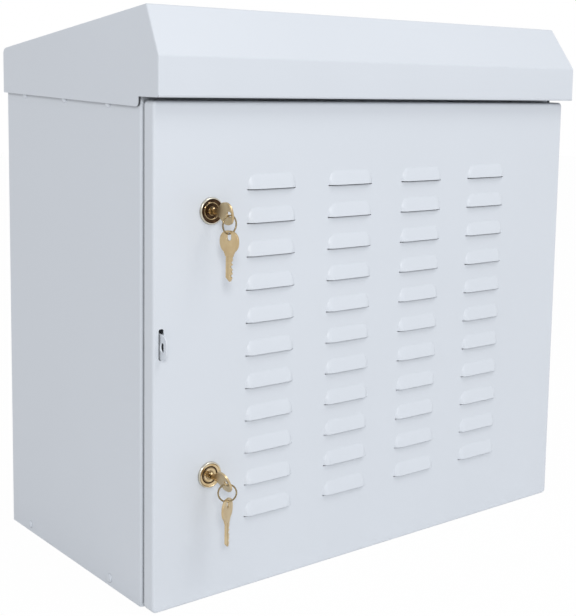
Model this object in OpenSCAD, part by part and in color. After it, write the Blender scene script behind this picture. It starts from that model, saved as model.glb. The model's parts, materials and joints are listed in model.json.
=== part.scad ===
// Outdoor equipment cabinet: folded steel body, overhanging roof cap and a louvred door
// with two cam locks. Millimetres, +Z up, the door faces -Y, origin at the centre of the base.

/* [Body] */
// Width of the body and of the door
body_w = 600; // [520:1:800]
// Depth of the body without the door
body_d = 309; // [260:1:450]
// Height of the body under the roof
body_h = 526; // [510:1:760]
// Thickness of the steel sheet
sheet = 1.5; // [1:0.1:2]
// Outer radius of the sheet's bends
bend_r = 3; // [2.5:0.1:5]
// Width of the front frame round the door opening
frame_w = 28; // [24:1:34]
// Width of the fold at the rear of each side
rear_fold = 20; // [14:1:30]
// Height of the folded edges of the top and bottom panels
panel_fold = 20; // [16:1:26]
// Play where one sheet is set between two others
sheet_play = 0.2; // [0.1:0.05:0.4]

/* [Roof] */
// Room between the body's side and the gable
roof_side_gap = 2.5; // [2.2:0.1:6]
// How far the fascia stands ahead of the door
roof_front = 14; // [11:1:40]
// How far the roof stands behind the body
roof_rear = 6; // [4:1:30]
// How far the gables and the rear edge reach down over the body
skirt = 10; // [7:0.5:13]
// How much higher the skirt ends at the rear than at the front
skirt_rise = 6; // [0:0.5:7]
// Rounding of the skirt's lower corners
skirt_corner = 5; // [2:0.5:6]
// Gap between the door's top edge and the fascia
fascia_gap = 3; // [2:0.5:5]
// Height of the upright fascia
fascia_h = 40; // [25:1:60]
// Height of the sloped strip between fascia and ridge
slope_h = 50; // [30:1:80]
// Distance from the fascia back to the ridge
slope_d = 29.5; // [20:0.5:60]
// Height of the roof's rear edge
roof_back_h = 54; // [40:0.5:70]
// Width of the fold under the fascia
fascia_lip = 10; // [6:1:12]
// Length of each angle that carries the roof
angle_l = 200; // [120:1:240]
// Leg of each roof angle
angle_leg = 36; // [28:1:44]
// Thickness of the roof angles
angle_t = 2; // [1.5:0.1:3]
// Distance between the two screws of a roof angle
roof_screw_pitch = 140; // [80:1:180]

/* [Rivets] */
// Radius of a rivet's shank
rivet_r = 2.4; // [2:0.1:2.6]
// Radius of a rivet's dome head
rivet_head_r = 4.6; // [3.8:0.1:5]
// Height of a rivet's dome head
rivet_head_h = 1.8; // [1.2:0.1:2]
// Distance between the rivets along a side
rivet_pitch = 97; // [80:1:110]
// Place of the middle rivet, behind the body's middle
rivet_mid = 8; // [0:1:15]
// Height of the lower rivets above the base
rivet_low = 9; // [8:0.5:12]
// Distance of the upper rivets below the body's top
rivet_high = 10; // [9:0.5:11]
// Distance between the rivets along the back
rivet_back_pitch = 150; // [100:1:200]

/* [Door] */
// Thickness of the folded door
door_t = 20; // [19:0.5:26]
// Gap between the door and the body's front frame
door_gap = 4; // [3.8:0.1:6]
// Height of the door's foot above the base
door_foot = 0.5; // [0.5:0.5:4]
// Distance of the door's top edge below the body's top
door_head = 6; // [4:0.5:8]
// Width of the fold at the door's rear
lip_w = 26; // [24:0.5:27]
// Width of the sealing strip
gasket_w = 6.5; // [4:0.5:8]
// Clearance between the sealing strip and the shut door
gasket_play = 0.4; // [0.3:0.1:0.8]

/* [Louvres] */
// Columns of louvres
louvre_cols = 4; // [2:1:4]
// Most rows of louvres
louvre_rows = 11; // [3:1:16]
// Least room between the top louvre and the door's top edge
louvre_clear = 50; // [20:1:70]
// Length of a louvre
louvre_l = 61.5; // [45:0.5:75]
// Height of a louvre
louvre_h = 17; // [12:0.5:20]
// How far a louvre's edge stands out of the door
louvre_out = 3; // [2.5:0.5:6]
// Distance between columns
col_pitch = 107; // [95:1:110]
// How far the louvres as a group stand right of the door's middle
louvre_shift = 2; // [0:0.5:5]
// Distance between rows
row_pitch = 35; // [25:0.5:38]
// Height of the lowest louvre's edge above the base
louvre_low = 79.5; // [50:0.5:100]
// How far each opening reaches below its hood's edge
louvre_relief = 1.2; // [0.3:0.1:2]

/* [Hinges] */
// Radius of the hinge pins
pin_r = 2.5; // [2:0.1:2.8]
// Radial clearance of a pin in the arm's eye
pin_play = 0.05; // [0.03:0.01:0.08]
// Distance of the hinge axis from the door's edge
hinge_edge = 9; // [8.5:0.1:9.5]
// Distance of the hinge axis from the door's rear
hinge_deep = 12; // [11.5:0.1:12.5]
// Height of a hinge arm
hinge_h = 30; // [20:1:40]
// Height of the lower hinge's middle above the base
hinge_low = 85; // [60:1:120]
// Distance of the upper hinge's middle below the body's top
hinge_high = 89; // [60:1:120]
// Thickness of a hinge arm
arm_t = 2.5; // [2:0.1:3]
// Inner radius of a hinge arm's bends
arm_bend = 1.5; // [1:0.1:2]
// Wall round the pin in the arm's eye
eye_wall = 1.5; // [1.2:0.1:1.8]
// Thickness of the door leaf's plate
leaf_t = 2; // [1.5:0.1:2.2]
// Thickness of the door leaf's ears
ear_t = 3; // [2:0.1:4]
// Gap between the arm's eye and an ear
ear_gap = 0.3; // [0.2:0.05:0.6]
// Radius of the pin's head
pin_head_r = 3.6; // [3.2:0.1:4.2]

/* [Padlock staple] */
// Height of the staple's middle above the base
staple_z = 277; // [240:1:320]
// Height of the staple's lug
staple_h = 26; // [22:1:30]
// Thickness of the staple
staple_t = 3; // [2:0.1:3.4]
// Distance of the lug's middle from the door's edge
staple_edge = 9; // [8:0.1:11]
// How far the lug stands out of the door
staple_out = 12; // [11.5:0.5:20]
// Radius of the padlock eye
eye_r = 4.2; // [3.5:0.1:4.2]
// Distance of the eye's middle from the door's face
eye_out = 4.5; // [4.5:0.1:8]
// Clearance on each side of the lug in the door's slot
slot_side = 1.4; // [1.2:0.1:2]
// Clearance above and below the lug in the door's slot
slot_end = 3; // [2:0.5:5]

/* [Locks] */
// Distance of the lock axis from the door's edge
lock_edge = 66.5; // [60:0.5:68]
// Height of the lower lock above the base
lock_low = 134.5; // [110:0.5:180]
// Distance of the upper lock below the body's top
lock_high = 116.5; // [100:0.5:160]
// Radius of the lock's front flange
lock_flange_r = 13.75; // [12.5:0.25:15]
// How far the flange stands out of the door
lock_flange_h = 2.5; // [2.2:0.1:6]
// Radius of the threaded barrel
barrel_r = 9.5; // [9:0.1:10.5]
// Radius of the turning plug
plug_r = 7; // [6.5:0.1:7.5]
// Radial clearance of the plug in its housing
plug_play = 0.05; // [0.03:0.01:0.08]
// Hexagon nut, across flats
lock_nut_af = 24; // [22:0.5:26]
// Thickness of the hexagon nut
lock_nut_h = 5; // [4:0.5:6]
// Radial clearance of the nut and the door's hole on the barrel
barrel_play = 0.1; // [0.05:0.05:0.3]
// Length of the cam from the lock axis
cam_l = 49; // [46:0.5:52]
// Width of the cam
cam_w = 14; // [12:0.5:15.5]
// Thickness of the cam
cam_t = 2; // [1.5:0.1:3]
// Gap between the locked cam and the frame's rear face
cam_gap = 1.3; // [1:0.1:3]
// Radius of the cam's screw
cam_screw_r = 2; // [1.5:0.1:2.5]
// How far the plug's face lies behind the flange's rim
plug_sink = 1; // [0.5:0.1:1.5]
// Height of the collar round the keyway
plug_collar = 0.8; // [0.5:0.1:1]
// Side of the plug's square tail
tail_a = 7; // [6:0.1:8]
// Play between parts that are pushed over each other
push_play = 0.1; // [0.05:0.05:0.2]

/* [Keys] */
// Thickness of a key
key_t = 2; // [1.6:0.1:2.4]
// Length of the key's blade
blade_l = 26; // [22:0.5:30]
// Width of the key's blade
blade_w = 7.5; // [6:0.1:8]
// Length of the key's bow
bow_l = 25; // [22:0.5:28]
// Width of the key's bow
bow_w = 23; // [20.5:0.5:24]
// Radius of the bow's rounded sides
bow_r = 10; // [9:0.5:10]
// Angle at which the bow's sides turn to the shoulders
bow_taper = 28; // [24:1:32]
// Half width of the slot in the bow
bow_hole_r = 2.8; // [2.6:0.1:3]
// Length of the slot in the bow between its round ends
bow_slot = 2.6; // [1:0.1:6]
// Metal left outside the bow's slot
bow_web = 2; // [1.5:0.1:3]
// How far the key's shoulders stand out of the blade
shoulder = 1; // [0.5:0.1:1.5]
// How much of the blade shows ahead of the lock
key_neck = 11.5; // [6:0.5:14]
// Diameter of the key ring at the middle of its wire
ring_d = 18.5; // [17:0.5:24]
// Radius of the ring's wire
wire_r = 0.65; // [0.5:0.05:0.7]
// Clearance of the ring in the key that carries it
ring_play = 0.9; // [0.8:0.05:1]
// Clearance of the spare key on the ring
spare_play = 0.9; // [0.7:0.05:1]
// Turn of the upper key in its lock
key_turn_high = 8; // [0:1:12]
// Turn of the lower key in its lock
key_turn_low = 22; // [10:1:24]
// Turn of the upper ring about the upright
ring_turn_high = 11; // [0:1:15]
// Turn of the lower ring about the upright
ring_turn_low = -33; // [-35:1:-20]
// Turn of the upper spare key on its ring
spare_turn_high = -83; // [-100:1:-64]
// Turn of the lower spare key on its ring
spare_turn_low = 64; // [60:1:100]

/* [Equipment rails] */
// Height units on the rails
rail_units = 9; // [4:1:9]
// Distance between the hole rows of the two rails
rail_pitch = 465.1; // [460:0.1:470]
// Clear width between the rails
rail_clear = 450; // [445:1:454]
// Width of the rail's front flange
rail_w = 25.5; // [24:0.5:28]
// Depth of the rail's side leg
rail_leg = 30; // [24:1:40]
// Thickness of rails and brackets
rail_t = 2; // [1.5:0.1:2.5]
// Distance of the rails behind the body's front
rail_back = 52; // [45:1:80]
// Height of the rail's foot above the base
rail_foot = 44; // [40:1:60]
// Rail left over beyond its hole rows at each end
rail_end = 20; // [18:1:30]
// Side of a square cage nut hole
cage_a = 9.5; // [9:0.1:10]
// Height of a rail bracket
bracket_h = 30; // [20:1:40]
// Length of a bracket's foot on the body's side
bracket_foot = 37; // [25:1:60]
// Radius of the rail bolts
bolt_r = 3; // [2.5:0.1:3]
// Clearance of bolts, screws and rivets in their holes
hole_play = 0.2; // [0.1:0.05:0.4]

/* [Cable entry] */
// Length of the cable entry plate
gland_l = 330; // [300:1:420]
// Width of the cable entry plate
gland_w = 86; // [80:1:100]
// Thickness of the cable entry plate
gland_t = 2; // [1.5:0.1:3]
// Overlap of the plate on the bottom panel
gland_rim = 15; // [12:1:20]
// Distance of the plate's middle behind the body's middle
gland_y = 70; // [55:1:75]
// Distance between cable entries
entry_pitch = 100; // [60:1:110]
// Radius of a cable entry
entry_r = 10; // [8:0.5:12]
// Wall of a grommet round the cable
grommet_wall = 3; // [2:0.1:4]
// Width of a grommet's rims
grommet_rim = 5; // [3:0.5:6]

/* [Fixing holes] */
// Radius of the anchor holes in the base
anchor_r = 5.5; // [4:0.5:7]
// Distance between the anchor holes, side to side
anchor_w = 500; // [400:1:510]
// Distance between the anchor holes, front to back
anchor_d = 220; // [150:1:230]
// Radius of the bracket holes in the back
wall_r = 4.5; // [3:0.5:6]
// Distance between the bracket holes, side to side
wall_w = 460; // [300:1:480]
// Height of the lower bracket holes above the base
wall_low = 83; // [60:1:120]
// Distance between the bracket holes, bottom to top
wall_h = 360; // [200:1:380]
// Distance of the earth stud from the body's side
stud_edge = 120; // [80:1:140]
// Distance of the earth stud behind the body's front
stud_back = 40; // [30:1:60]
// Radius of the earth stud
stud_r = 3; // [2.5:0.5:4]
// Height of the earth stud
stud_h = 22; // [16:1:26]

/* [Hidden] */
$fn = 48;
steps = 5;
cut = 1;
// Metal left beside a round end, and room left beside a turning one
margin = 1;
// Spread of a closed rivet, lean of the lock flange and share of the plug taken by the cam screw's head
rivet_spread = 1.5;
bezel_lean = 2.6;
screw_share = 0.7;
// Planes of the body
front = -body_d / 2;
rear = body_d / 2;
inner_w = body_w - 2 * sheet;
frame_back = front + sheet;
// Back panel and the folds of the top and bottom panels that stand against it
back_in = rear - 2 * sheet;
panel_d = back_in - front;
panel_y = (back_in + front) / 2;
opening_w = body_w - 2 * frame_w;
// Door planes
door_rear = front - door_gap;
door_front = door_rear - door_t;
door_z = body_h - door_head;
door_h = door_z - door_foot;
door_mid = (door_z + door_foot) / 2;
// Roof planes
roof_w = body_w + 2 * (roof_side_gap + sheet);
fascia_y = door_front - roof_front;
fascia_low = door_z + fascia_gap;
fascia_top = fascia_low + fascia_h;
ridge_z = fascia_top + slope_h;
roof_y = rear + roof_rear;
skirt_z = body_h - skirt;
roof_path = [[roof_y, skirt_z - skirt], [roof_y, skirt_z + roof_back_h], [fascia_y + slope_d, ridge_z],
             [fascia_y, fascia_top], [fascia_y, fascia_low]];
angle_x = roof_w / 2 - sheet;
roof_screw_x = body_w / 2 - frame_w;
// Louvre surface: an arc that rises louvre_out over louvre_h
louvre_r = (louvre_h * louvre_h + louvre_out * louvre_out) / (2 * louvre_out);
louvre_deep = louvre_r - louvre_out;
rows_that_fit = 1 + floor((door_z - louvre_clear - louvre_h - louvre_low) / row_pitch);
// Hinge axis
hinge_x = body_w / 2 - hinge_edge;
hinge_y = door_rear - hinge_deep;
hinge_zs = [hinge_low, body_h - hinge_high];
eye_out_r = pin_r + pin_play + eye_wall;
ear_out = hinge_h / 2 + ear_gap + ear_t;
notch_h = 2 * (ear_out + ear_t);
// Locks
lock_x = -body_w / 2 + lock_edge;
lock_zs = [lock_low, body_h - lock_high];
housing_l = frame_back - door_front - cam_gap + margin;
cam_y = frame_back - door_front + cam_gap;
key_y = -lock_flange_h - key_neck;
hole_along = bow_l - bow_web - bow_hole_r;
ring_y = key_y - hole_along + bow_slot / 2;
ring_sag = bow_hole_r - wire_r - ring_play;
spare_sag = bow_hole_r - wire_r - spare_play;
key_turns = [key_turn_low, key_turn_high];
ring_turns = [ring_turn_low, ring_turn_high];
spare_turns = [spare_turn_low, spare_turn_high];
// Staple
staple_x = -body_w / 2 + staple_edge;
// Rails
unit_h = 44.45;
unit_holes = [6.35, 22.225, 38.1];
rail_l = rail_units * unit_h + 2 * rail_end;
rail_y = front + rail_back;
rail_out = rail_clear / 2 + rail_w;
rail_bolt_y = rail_y + rail_leg / 2;
bracket_y = rail_y + rail_leg - rail_t;
bracket_zs = [rail_foot + bracket_h / 2, rail_foot + rail_l - bracket_h / 2];
// Earth stud
stud_x = -body_w / 2 + stud_edge;
stud_y = front + stud_back;

paint = "#d9dee4";
zinc = "#b9bcc0";
nickel = "#c9bd9f";
brass = "#cdb482";
rubber = "#2b2c2e";

// Outlines

function unit(v) = v / norm(v);
function left_of(v) = [-v[1], v[0]];
function cross_z(a, b) = a[0] * b[1] - a[1] * b[0];

// Points of an arc of radius r that rounds the corner a, b, c
function corner(a, b, c, r) =
    let (u = unit(a - b))
    let (v = unit(c - b))
    let (half = acos(u * v) / 2)
    let (m = b + unit(u + v) * r / sin(half))
    let (side = cross_z(b - a, c - b) > 0 ? 1 : -1)
    let (sweep = 180 - 2 * half)
    let (s = b + u * r / tan(half) - m)
    [for (i = [0:steps])
        let (w = side * sweep * i / steps)
        m + [s[0] * cos(w) - s[1] * sin(w), s[0] * sin(w) + s[1] * cos(w)]];

// Closed outline with its own radius at each point, 0 for a sharp one
function rounded(p, radii) =
    let (n = len(p))
    [for (i = [0:n - 1])
        each radii[i] == 0 ? [p[i]] : corner(p[(i + n - 1) % n], p[i], p[(i + 1) % n], radii[i])];

// The path moved t to its left, with mitred corners
function beside(p, t) =
    let (n = len(p))
    [for (i = [0:n - 1])
        let (a = left_of(unit(i > 0 ? p[i] - p[i - 1] : p[1] - p[0])))
        let (b = left_of(unit(i < n - 1 ? p[i + 1] - p[i] : p[n - 1] - p[n - 2])))
        let (m = unit(a + b))
        p[i] + m * t / (m * b)];

// The path with its inner points rounded: left turns by one radius, right turns by another
function eased(p, left_r, right_r) =
    let (n = len(p))
    [for (i = [0:n - 1])
        let (turn = i > 0 && i < n - 1 ? cross_z(p[i] - p[i - 1], p[i + 1] - p[i]) : 0)
        each turn == 0 ? [p[i]] : corner(p[i - 1], p[i], p[i + 1], turn > 0 ? left_r : right_r)];

function reversed(p) = [for (i = [len(p) - 1:-1:0]) p[i]];

// Section of a folded sheet: one face follows the path, the sheet lies to its left
function folded(path, t, r) = concat(eased(path, r, r - t), reversed(eased(beside(path, t), r - t, r)));

// An outline in Y and Z, drawn out along X from its middle
module along_x(l) {
    translate([-l / 2, 0, 0])
        rotate([90, 0, 90])
            linear_extrude(l)
                children();
}

// A turned shape whose axis points into the cabinet
module turned_in() {
    rotate([-90, 0, 0])
        rotate_extrude()
            children();
}

// A flat shape in X and Z that starts at depth y and is t thick
module flat_in(y, t) {
    translate([0, y + t, 0])
        rotate([90, 0, 0])
            linear_extrude(t)
                children();
}

// Block with four rounded edges round its closed face at z = 0
module pan_block(w, h, d, r) {
    function section(l) = rounded([[-l / 2, d], [-l / 2, 0], [l / 2, 0], [l / 2, d]], [0, r, r, 0]);
    intersection() {
        translate([0, h / 2, 0])
            rotate([90, 0, 0])
                linear_extrude(h)
                    polygon(section(w));
        along_x(w)
            polygon(section(h));
    }
}

module rod(r, z0, z1) {
    translate([0, 0, z0])
        cylinder(r = r, h = z1 - z0);
}

module hex(af, z0, z1) {
    translate([0, 0, z0])
        cylinder(r = af / 2 / cos(30), h = z1 - z0, $fn = 6);
}

// Body sheets

// Lower rivets are level, upper ones follow the skirt's edge
module side_rivet_places() {
    for (i = [-1, 1])
        translate([0, rivet_mid + i * rivet_pitch, rivet_low])
            children();
    for (i = [-1:1])
        let (y = rivet_mid + i * rivet_pitch)
            translate([0, y, body_h - rivet_high + skirt_rise * y / body_d])
                children();
}

module back_rivet_places() {
    for (z = [rivet_low, body_h - rivet_high])
        for (i = [-1:1])
            translate([i * rivet_back_pitch, 0, z])
                children();
}

// Bores for all rivets, through every sheet they join
module rivet_holes() {
    r = rivet_r + hole_play / 2;
    side_rivet_places()
        rotate([0, 90, 0])
            cylinder(r = r, h = body_w + 2 * cut, center = true);
    back_rivet_places()
        rotate([-90, 0, 0])
            rod(r, back_in - sheet - cut, rear + cut);
}

module side_sheet() {
    path = [[-body_w / 2 + frame_w, front], [-body_w / 2, front], [-body_w / 2, rear],
            [-body_w / 2 + rear_fold, rear]];
    difference() {
        linear_extrude(body_h)
            polygon(folded(reversed(path), sheet, bend_r));
        rivet_holes();
    }
}

module side_left() {
    color(paint)
        difference() {
            side_sheet();
            translate([staple_x, front + sheet / 2, staple_z])
                cube([staple_t + 2 * push_play, sheet + 2 * cut, staple_h + 2 * push_play], center = true);
        }
}

module side_right() {
    color(paint)
        mirror([1, 0, 0])
            side_sheet();
}

module back_panel() {
    w = body_w - 2 * bend_r - 2 * sheet_play;
    color(paint)
        difference() {
            translate([-w / 2, back_in, 0])
                cube([w, sheet, body_h]);
            rivet_holes();
            for (x = [-1, 1])
                for (z = [wall_low, wall_low + wall_h])
                    translate([x * wall_w / 2, 0, z])
                        rotate([-90, 0, 0])
                            rod(wall_r, back_in - cut, rear + cut);
        }
}

// Folded panel that closes the body at z = 0: a deep fold in front, shallow folds elsewhere
module end_panel() {
    side_w = (inner_w - opening_w) / 2 + sheet_play;
    clear_y = frame_back + sheet_play / 2;
    difference() {
        translate([0, panel_y, 0])
            pan_block(inner_w, panel_d, frame_w, bend_r);
        translate([0, panel_y, sheet])
            pan_block(inner_w - 2 * sheet, panel_d - 2 * sheet, frame_w, bend_r - sheet);
        translate([-body_w / 2, clear_y, panel_fold])
            cube([body_w, body_d, frame_w]);
        for (x = [-inner_w / 2 - cut, inner_w / 2 - side_w])
            translate([x, front - cut, -cut])
                cube([side_w + cut, clear_y - front + cut, frame_w + 2 * cut]);
    }
}

module roof_screw_places() {
    for (x = [-1, 1])
        for (y = [-1, 1])
            translate([x * roof_screw_x, y * roof_screw_pitch / 2, body_h])
                children();
}

module top_panel() {
    color(paint)
        difference() {
            translate([0, 0, body_h])
                mirror([0, 0, 1])
                    end_panel();
            rivet_holes();
            roof_screw_places()
                rod(bolt_r + hole_play, -sheet - cut, cut);
        }
}

module gland_screw_places() {
    for (x = [-1, 1])
        for (y = [-1, 1])
            translate([x * (gland_l - gland_rim) / 2, gland_y + y * (gland_w - gland_rim) / 2, 0])
                children();
}

module bottom_panel() {
    color(paint)
        difference() {
            end_panel();
            rivet_holes();
            translate([0, gland_y, 0])
                cube([gland_l - 2 * gland_rim, gland_w - 2 * gland_rim, 4 * sheet], center = true);
            gland_screw_places()
                rod(bolt_r + hole_play, -cut, sheet + cut);
            for (x = [-1, 1])
                for (y = [-1, 1])
                    translate([x * anchor_w / 2, y * anchor_d / 2, 0])
                        rod(anchor_r, -cut, sheet + cut);
        }
}

// Roof

module roof_cap() {
    gable = [[roof_y, skirt_z + skirt_rise / 2], roof_path[1], roof_path[2], roof_path[3], roof_path[4],
             [front, fascia_low], [front, skirt_z - skirt_rise / 2]];
    inside = eased(beside(roof_path, sheet), bend_r - sheet, bend_r - sheet);
    lip_y = fascia_y + fascia_lip;
    hollow = concat(
        [for (i = [0:len(inside) - 2]) inside[i]],
        [[fascia_y + sheet, fascia_low + sheet], [lip_y, fascia_low + sheet], [lip_y, skirt_z - skirt]]
    );
    color(paint)
        difference() {
            along_x(roof_w)
                polygon(rounded(gable, [skirt_corner, bend_r, bend_r, bend_r, 0, 0, skirt_corner]));
            along_x(roof_w - 2 * sheet)
                polygon(hollow);
        }
}

module roof_angles() {
    path = [[angle_x - angle_leg, body_h], [angle_x, body_h], [angle_x, body_h + angle_leg]];
    color(zinc)
        difference() {
            for (m = [0, 1])
                mirror([m, 0, 0])
                    translate([0, angle_l / 2, 0])
                        rotate([90, 0, 0])
                            linear_extrude(angle_l)
                                polygon(folded(path, angle_t, bend_r));
            roof_screw_places()
                rod(bolt_r + hole_play, -cut, angle_t + cut);
        }
}

// Screws from below, through the top panel and the roof angles
module roof_screws() {
    color(zinc)
        roof_screw_places() {
            rod(2 * bolt_r, -sheet - bolt_r, -sheet);
            rod(bolt_r, -sheet - bolt_r / 2, angle_t + 3 * bolt_r);
        }
}

module roof_nuts() {
    color(zinc)
        roof_screw_places()
            difference() {
                hex(10 / 3 * bolt_r, angle_t, angle_t + 5 / 3 * bolt_r);
                rod(bolt_r + push_play / 2, 0, angle_t + 2 * bolt_r);
            }
}

// One rivet along X: dome head outside x = 0, formed tail behind two sheets
module rivet() {
    dome_r = (rivet_head_r * rivet_head_r + rivet_head_h * rivet_head_h) / (2 * rivet_head_h);
    rotate([0, 90, 0])
        union() {
            intersection() {
                translate([0, 0, rivet_head_h - dome_r])
                    sphere(r = dome_r);
                rod(dome_r, 0, rivet_head_h + cut);
            }
            rod(rivet_r, -2 * sheet - rivet_r, rivet_head_h / 2);
            rod(rivet_spread * rivet_r, -2 * sheet - rivet_r, -2 * sheet);
        }
}

module body_rivets() {
    color(paint) {
        for (m = [0, 1])
            mirror([m, 0, 0])
                side_rivet_places()
                    translate([body_w / 2, 0, 0])
                        rivet();
        back_rivet_places()
            translate([0, back_in + sheet, 0])
                rotate([0, 0, 90])
                    rivet();
    }
}

// Padlock staple: a flat lug through the door, with its foot behind the front frame
module padlock_staple() {
    tip = door_front - staple_out;
    foot_w = frame_w - staple_edge;
    corner_r = staple_h / 3;
    low = staple_z - staple_h / 2;
    high = staple_z + staple_h / 2;
    end = frame_back + staple_t;
    color(paint)
        union() {
            translate([staple_x, 0, 0])
                difference() {
                    along_x(staple_t)
                        polygon(rounded([[tip, low], [end, low], [end, high], [tip, high]],
                                        [corner_r, 0, 0, corner_r]));
                    translate([0, door_front - eye_out, staple_z])
                        rotate([0, 90, 0])
                            cylinder(r = eye_r, h = staple_t + 2 * cut, center = true);
                }
            translate([staple_x, frame_back, low])
                cube([foot_w - sheet, staple_t, staple_h]);
        }
}

// Sealing strip on the front frame
module door_gasket() {
    t = door_gap - gasket_play;
    in_w = body_w - 2 * lip_w + 1;
    in_low = door_foot + lip_w - 1;
    in_high = body_h - frame_w + 1;
    color(rubber)
        difference() {
            translate([-in_w / 2 - gasket_w, front - t, in_low - gasket_w])
                cube([in_w + 2 * gasket_w, t, in_high - in_low + 2 * gasket_w]);
            translate([-in_w / 2, front - t - cut, in_low])
                cube([in_w, t + 2 * cut, in_high - in_low]);
        }
}

// Hinges

// Goose neck from behind the front frame, round its edge and forward into the door
module hinge_arm(z) {
    face = hinge_y + arm_t / 2;
    neck = opening_w / 2 - arm_bend;
    path = [[hinge_x, face], [neck, face], [neck, frame_back], [body_w / 2 - 2 * bend_r, frame_back]];
    color(zinc)
        translate([0, 0, z - hinge_h / 2])
            difference() {
                union() {
                    linear_extrude(hinge_h)
                        polygon(folded(path, arm_t, arm_t + arm_bend));
                    translate([hinge_x, hinge_y, 0])
                        rod(eye_out_r, 0, hinge_h);
                }
                translate([hinge_x, hinge_y, 0])
                    rod(pin_r + pin_play, -cut, hinge_h + cut);
            }
}

module hinge_arm_lower() {
    hinge_arm(hinge_zs[0]);
}

module hinge_arm_upper() {
    hinge_arm(hinge_zs[1]);
}

// Plate on the door's edge with an ear above and below the arm's eye
module hinge_leaf(z) {
    wall = hinge_edge - sheet;
    ear_r = eye_out_r + margin;
    plate_h = 2 * (ear_out + ear_t / 2);
    color(zinc)
        translate([hinge_x, hinge_y, z])
            difference() {
                union() {
                    translate([wall - leaf_t, -ear_r, -plate_h / 2])
                        cube([leaf_t, 2 * ear_r, plate_h]);
                    for (s = [-1, 1])
                        translate([0, 0, s * (ear_out - ear_t / 2)]) {
                            cylinder(r = ear_r, h = ear_t, center = true);
                            translate([0, -ear_r, -ear_t / 2])
                                cube([wall - leaf_t / 2, 2 * ear_r, ear_t]);
                        }
                }
                rod(pin_r + push_play / 4, -ear_out - cut, ear_out + cut);
            }
}

module hinge_leaf_lower() {
    hinge_leaf(hinge_zs[0]);
}

module hinge_leaf_upper() {
    hinge_leaf(hinge_zs[1]);
}

module hinge_pin(z) {
    color(zinc)
        translate([hinge_x, hinge_y, z]) {
            rod(pin_r, -ear_out - pin_r / 2, ear_out + pin_r / 2);
            rod(pin_head_r, ear_out, ear_out + pin_r * 3 / 4);
        }
}

module hinge_pin_lower() {
    hinge_pin(hinge_zs[0]);
}

module hinge_pin_upper() {
    hinge_pin(hinge_zs[1]);
}

// Door

// Louvre hood of one surface radius, reaching the given depth into the door's face
module louvre_form(r, deep) {
    module section() {
        intersection() {
            translate([0, -louvre_deep])
                circle(r);
            translate([0, -deep])
                square([louvre_h + louvre_out, deep + louvre_out + cut]);
        }
    }
    straight = louvre_l - 2 * louvre_h;
    translate([-straight / 2, 0, 0])
        rotate([0, 90, 0])
            rotate([0, 0, 180])
                linear_extrude(straight)
                    section();
    for (s = [0, 1])
        mirror([s, 0, 0])
            translate([straight / 2, 0, 0])
                rotate([90, 0, 0])
                    rotate_extrude(angle = 90)
                        section();
}

module louvre_places() {
    for (i = [0:louvre_cols - 1])
        for (j = [0:min(louvre_rows, rows_that_fit) - 1])
            translate([louvre_shift + (i - (louvre_cols - 1) / 2) * col_pitch, door_front,
                       louvre_low + j * row_pitch])
                children();
}

module door_panel() {
    slot = [staple_t + 2 * slot_side, door_t + 2 * cut, staple_h + 2 * slot_end];
    color(paint)
        difference() {
            union() {
                translate([0, door_front, door_mid])
                    rotate([-90, 0, 0])
                        pan_block(body_w, door_h, door_t, bend_r);
                louvre_places()
                    louvre_form(louvre_r, sheet / 3);
            }
            translate([0, door_front + sheet, door_mid])
                rotate([-90, 0, 0])
                    pan_block(inner_w, door_h - 2 * sheet, door_t - 2 * sheet, bend_r - sheet);
            translate([0, door_rear, door_mid])
                cube([body_w - 2 * lip_w, 4 * sheet, door_h - 2 * lip_w], center = true);
            louvre_places()
                translate([0, 0, -louvre_relief])
                    louvre_form(louvre_r - sheet, sheet + louvre_relief);
            for (z = lock_zs)
                translate([lock_x, 0, z])
                    rotate([-90, 0, 0])
                        rod(barrel_r + barrel_play, door_front - cut, door_front + sheet + cut);
            translate([staple_x, (door_front + door_rear) / 2, staple_z + slot_end / 2])
                cube(slot, center = true);
            for (z = hinge_zs)
                translate([body_w / 2 - lip_w - cut, door_rear - 2 * sheet, z - notch_h / 2])
                    cube([lip_w + cut - sheet, 3 * sheet, notch_h]);
        }
}

// Locks, each drawn about its own axis with y = 0 on the door's face

module at_lock(i) {
    translate([lock_x, door_front, lock_zs[i]])
        children();
}

module lock_housing() {
    h = lock_flange_h;
    bore = plug_r + plug_play;
    bezel = (lock_flange_r - plug_r) / 5;
    color(nickel)
        turned_in()
            polygon([[bore, -h + bezel], [bore + 2 * bezel, -h + bezel], [bore + bezel_lean * bezel, -h],
                     [lock_flange_r - bezel, -h], [lock_flange_r, -h + bezel], [lock_flange_r, 0],
                     [barrel_r, 0], [barrel_r, housing_l], [bore, housing_l]]);
}

module lock_housing_lower() {
    at_lock(0)
        lock_housing();
}

module lock_housing_upper() {
    at_lock(1)
        lock_housing();
}

module lock_nut() {
    color(zinc)
        rotate([-90, 0, 0])
            difference() {
                hex(lock_nut_af, sheet, sheet + lock_nut_h);
                rod(barrel_r + barrel_play, 0, sheet + lock_nut_h + cut);
            }
}

module lock_nut_lower() {
    at_lock(0)
        lock_nut();
}

module lock_nut_upper() {
    at_lock(1)
        lock_nut();
}

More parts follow.
